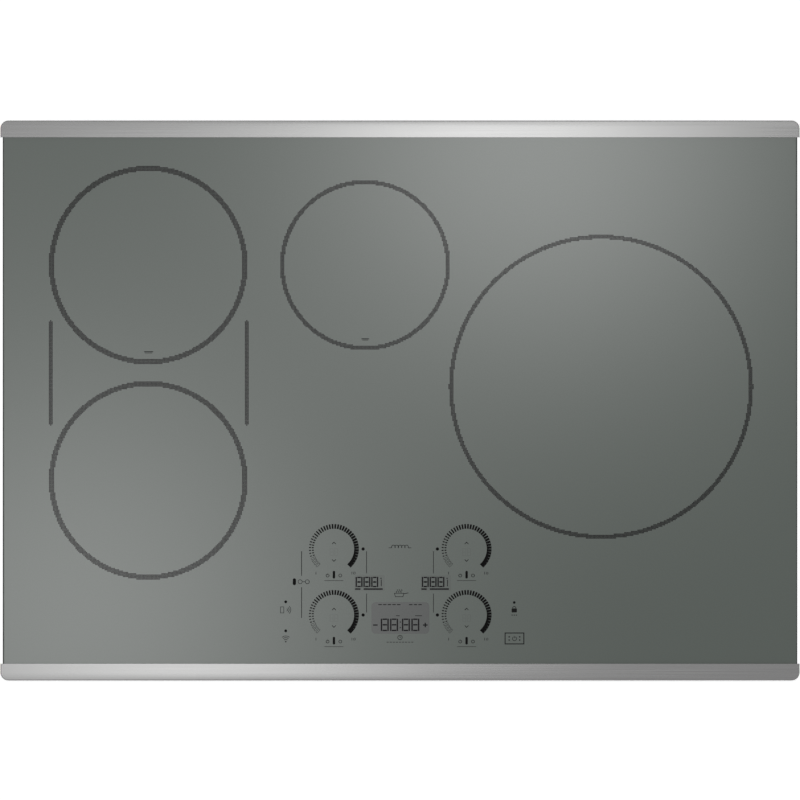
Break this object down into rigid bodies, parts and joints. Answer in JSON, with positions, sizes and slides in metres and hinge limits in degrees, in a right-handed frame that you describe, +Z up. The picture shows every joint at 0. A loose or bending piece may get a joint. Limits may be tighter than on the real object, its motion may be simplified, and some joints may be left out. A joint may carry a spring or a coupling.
{
  "type": "electric induction cooktop",
  "caption": "Drop-in induction cooktop: grey glass top with stainless front and rear trims, cooking zones and a touch panel, over a steel box with sprung coils, blowers and side clamps.",
  "frame": {"origin": "underside of the box floor, below the middle of the cooktop", "axes": "+X to the user's right along the trims, +Y to the rear, +Z up out of the cooking surface"},
  "size_m": [0.756, 0.53, 0.1038],
  "materials": {
    "glass": "grey-green glass ceramic, polished, printed",
    "stainless": "fine brushed along the length",
    "galvanised": "zinc coated sheet",
    "frame_paint": "dark coated steel",
    "zinc": "zinc plated",
    "aluminium": "mill finish",
    "foam": "closed-cell foam",
    "former_resin": "filled resin",
    "copper": "enamelled copper litz",
    "felt": "ceramic fibre felt",
    "ceramic_white": "white moulded cap",
    "spring_steel": "bright spring wire",
    "circuit_board": "solder-masked laminate",
    "black_plastic": "moulded, fine grained",
    "rubber_foot": "moulded rubber"
  },
  "bodies": {
    "chassis": {"glass_top": "glass", "rear_trim": "stainless", "front_trim": "stainless", "rim_seal": "foam", "glass_frame": "frame_paint", "box_pan": "galvanised", "left_end_panel": "galvanised", "right_end_panel": "galvanised", "conduit_pocket": "galvanised", "conduit_connector": "zinc", "conduit_locknut": "zinc", "terminal_block": "black_plastic", "left_coil_plate": "aluminium", "right_coil_plate": "aluminium", "left_generator_board": "circuit_board", "right_generator_board": "circuit_board", "filter_board": "circuit_board", "left_heat_sink": "aluminium", "right_heat_sink": "aluminium", "left_blower_housing": "black_plastic", "right_blower_housing": "black_plastic", "control_carrier": "black_plastic", "control_board": "circuit_board", "left_clamp_bracket": "zinc", "right_clamp_bracket": "zinc", "left_rear_spring_1": "spring_steel", "left_rear_spring_2": "spring_steel", "left_rear_spring_3": "spring_steel", "left_front_spring_1": "spring_steel", "left_front_spring_2": "spring_steel", "left_front_spring_3": "spring_steel", "centre_rear_spring_1": "spring_steel", "centre_rear_spring_2": "spring_steel", "centre_rear_spring_3": "spring_steel", "right_spring_1": "spring_steel", "right_spring_2": "spring_steel", "right_spring_3": "spring_steel"},
    "left_rear_coil": {"left_rear_coil_former": "former_resin", "left_rear_coil_winding": "copper", "left_rear_coil_pad": "felt", "left_rear_coil_sensor": "ceramic_white"},
    "left_front_coil": {"left_front_coil_former": "former_resin", "left_front_coil_winding": "copper", "left_front_coil_pad": "felt", "left_front_coil_sensor": "ceramic_white"},
    "centre_rear_coil": {"centre_rear_coil_former": "former_resin", "centre_rear_coil_winding": "copper", "centre_rear_coil_pad": "felt", "centre_rear_coil_sensor": "ceramic_white"},
    "right_coil": {"right_coil_former": "former_resin", "right_coil_winding": "copper", "right_coil_pad": "felt", "right_coil_sensor": "ceramic_white"},
    "left_blower_rotor": {"left_blower_impeller": "black_plastic"},
    "left_clamp_foot": {"left_clamp_pad": "rubber_foot"},
    "left_clamp_screw_body": {"left_clamp_screw": "zinc"},
    "right_blower_rotor": {"right_blower_impeller": "black_plastic"},
    "right_clamp_foot": {"right_clamp_pad": "rubber_foot"},
    "right_clamp_screw_body": {"right_clamp_screw": "zinc"}
  },
  "joints": [
    {"name": "left_rear_coil_travel", "type": "slide", "parent": "chassis", "child": "left_rear_coil", "axis": [0, 0, 1], "range_m": [-0.004, 0], "stiffness_N_per_m": 6000, "springref_m": 0.003, "deforming": ["left_rear_spring_1", "left_rear_spring_2", "left_rear_spring_3"]},
    {"name": "left_front_coil_travel", "type": "slide", "parent": "chassis", "child": "left_front_coil", "axis": [0, 0, 1], "range_m": [-0.004, 0], "stiffness_N_per_m": 6000, "springref_m": 0.003, "deforming": ["left_front_spring_1", "left_front_spring_2", "left_front_spring_3"]},
    {"name": "centre_rear_coil_travel", "type": "slide", "parent": "chassis", "child": "centre_rear_coil", "axis": [0, 0, 1], "range_m": [-0.004, 0], "stiffness_N_per_m": 6000, "springref_m": 0.003, "deforming": ["centre_rear_spring_1", "centre_rear_spring_2", "centre_rear_spring_3"]},
    {"name": "right_coil_travel", "type": "slide", "parent": "chassis", "child": "right_coil", "axis": [0, 0, 1], "range_m": [-0.004, 0], "stiffness_N_per_m": 12000, "springref_m": 0.003, "deforming": ["right_spring_1", "right_spring_2", "right_spring_3"]},
    {"name": "left_blower_spin", "type": "hinge", "parent": "chassis", "child": "left_blower_rotor", "pos_m": [-0.225, -0.14, 0.02], "axis": [0, 0, 1], "continuous": true},
    {"name": "right_blower_spin", "type": "hinge", "parent": "chassis", "child": "right_blower_rotor", "pos_m": [0.225, -0.14, 0.02], "axis": [0, 0, 1], "continuous": true},
    {"name": "left_clamp_lift", "type": "slide", "parent": "chassis", "child": "left_clamp_foot", "axis": [0, 0, 1], "range_m": [-0.01, 0.014]},
    {"name": "left_clamp_turn", "type": "hinge", "parent": "left_clamp_foot", "child": "left_clamp_screw_body", "pos_m": [-0.3695, 0, 0.036], "axis": [0, 0, 1], "range_deg": [-3605, 5045]},
    {"name": "right_clamp_lift", "type": "slide", "parent": "chassis", "child": "right_clamp_foot", "axis": [0, 0, 1], "range_m": [-0.01, 0.014]},
    {"name": "right_clamp_turn", "type": "hinge", "parent": "right_clamp_foot", "child": "right_clamp_screw_body", "pos_m": [0.3695, 0, 0.036], "axis": [0, 0, 1], "range_deg": [-3605, 5045]}
  ],
  "couplings": [
    {"joint": "left_clamp_turn", "follows": "left_clamp_lift", "rad_per_m": 6283.2},
    {"joint": "right_clamp_turn", "follows": "right_clamp_lift", "rad_per_m": 6283.2}
  ]
}
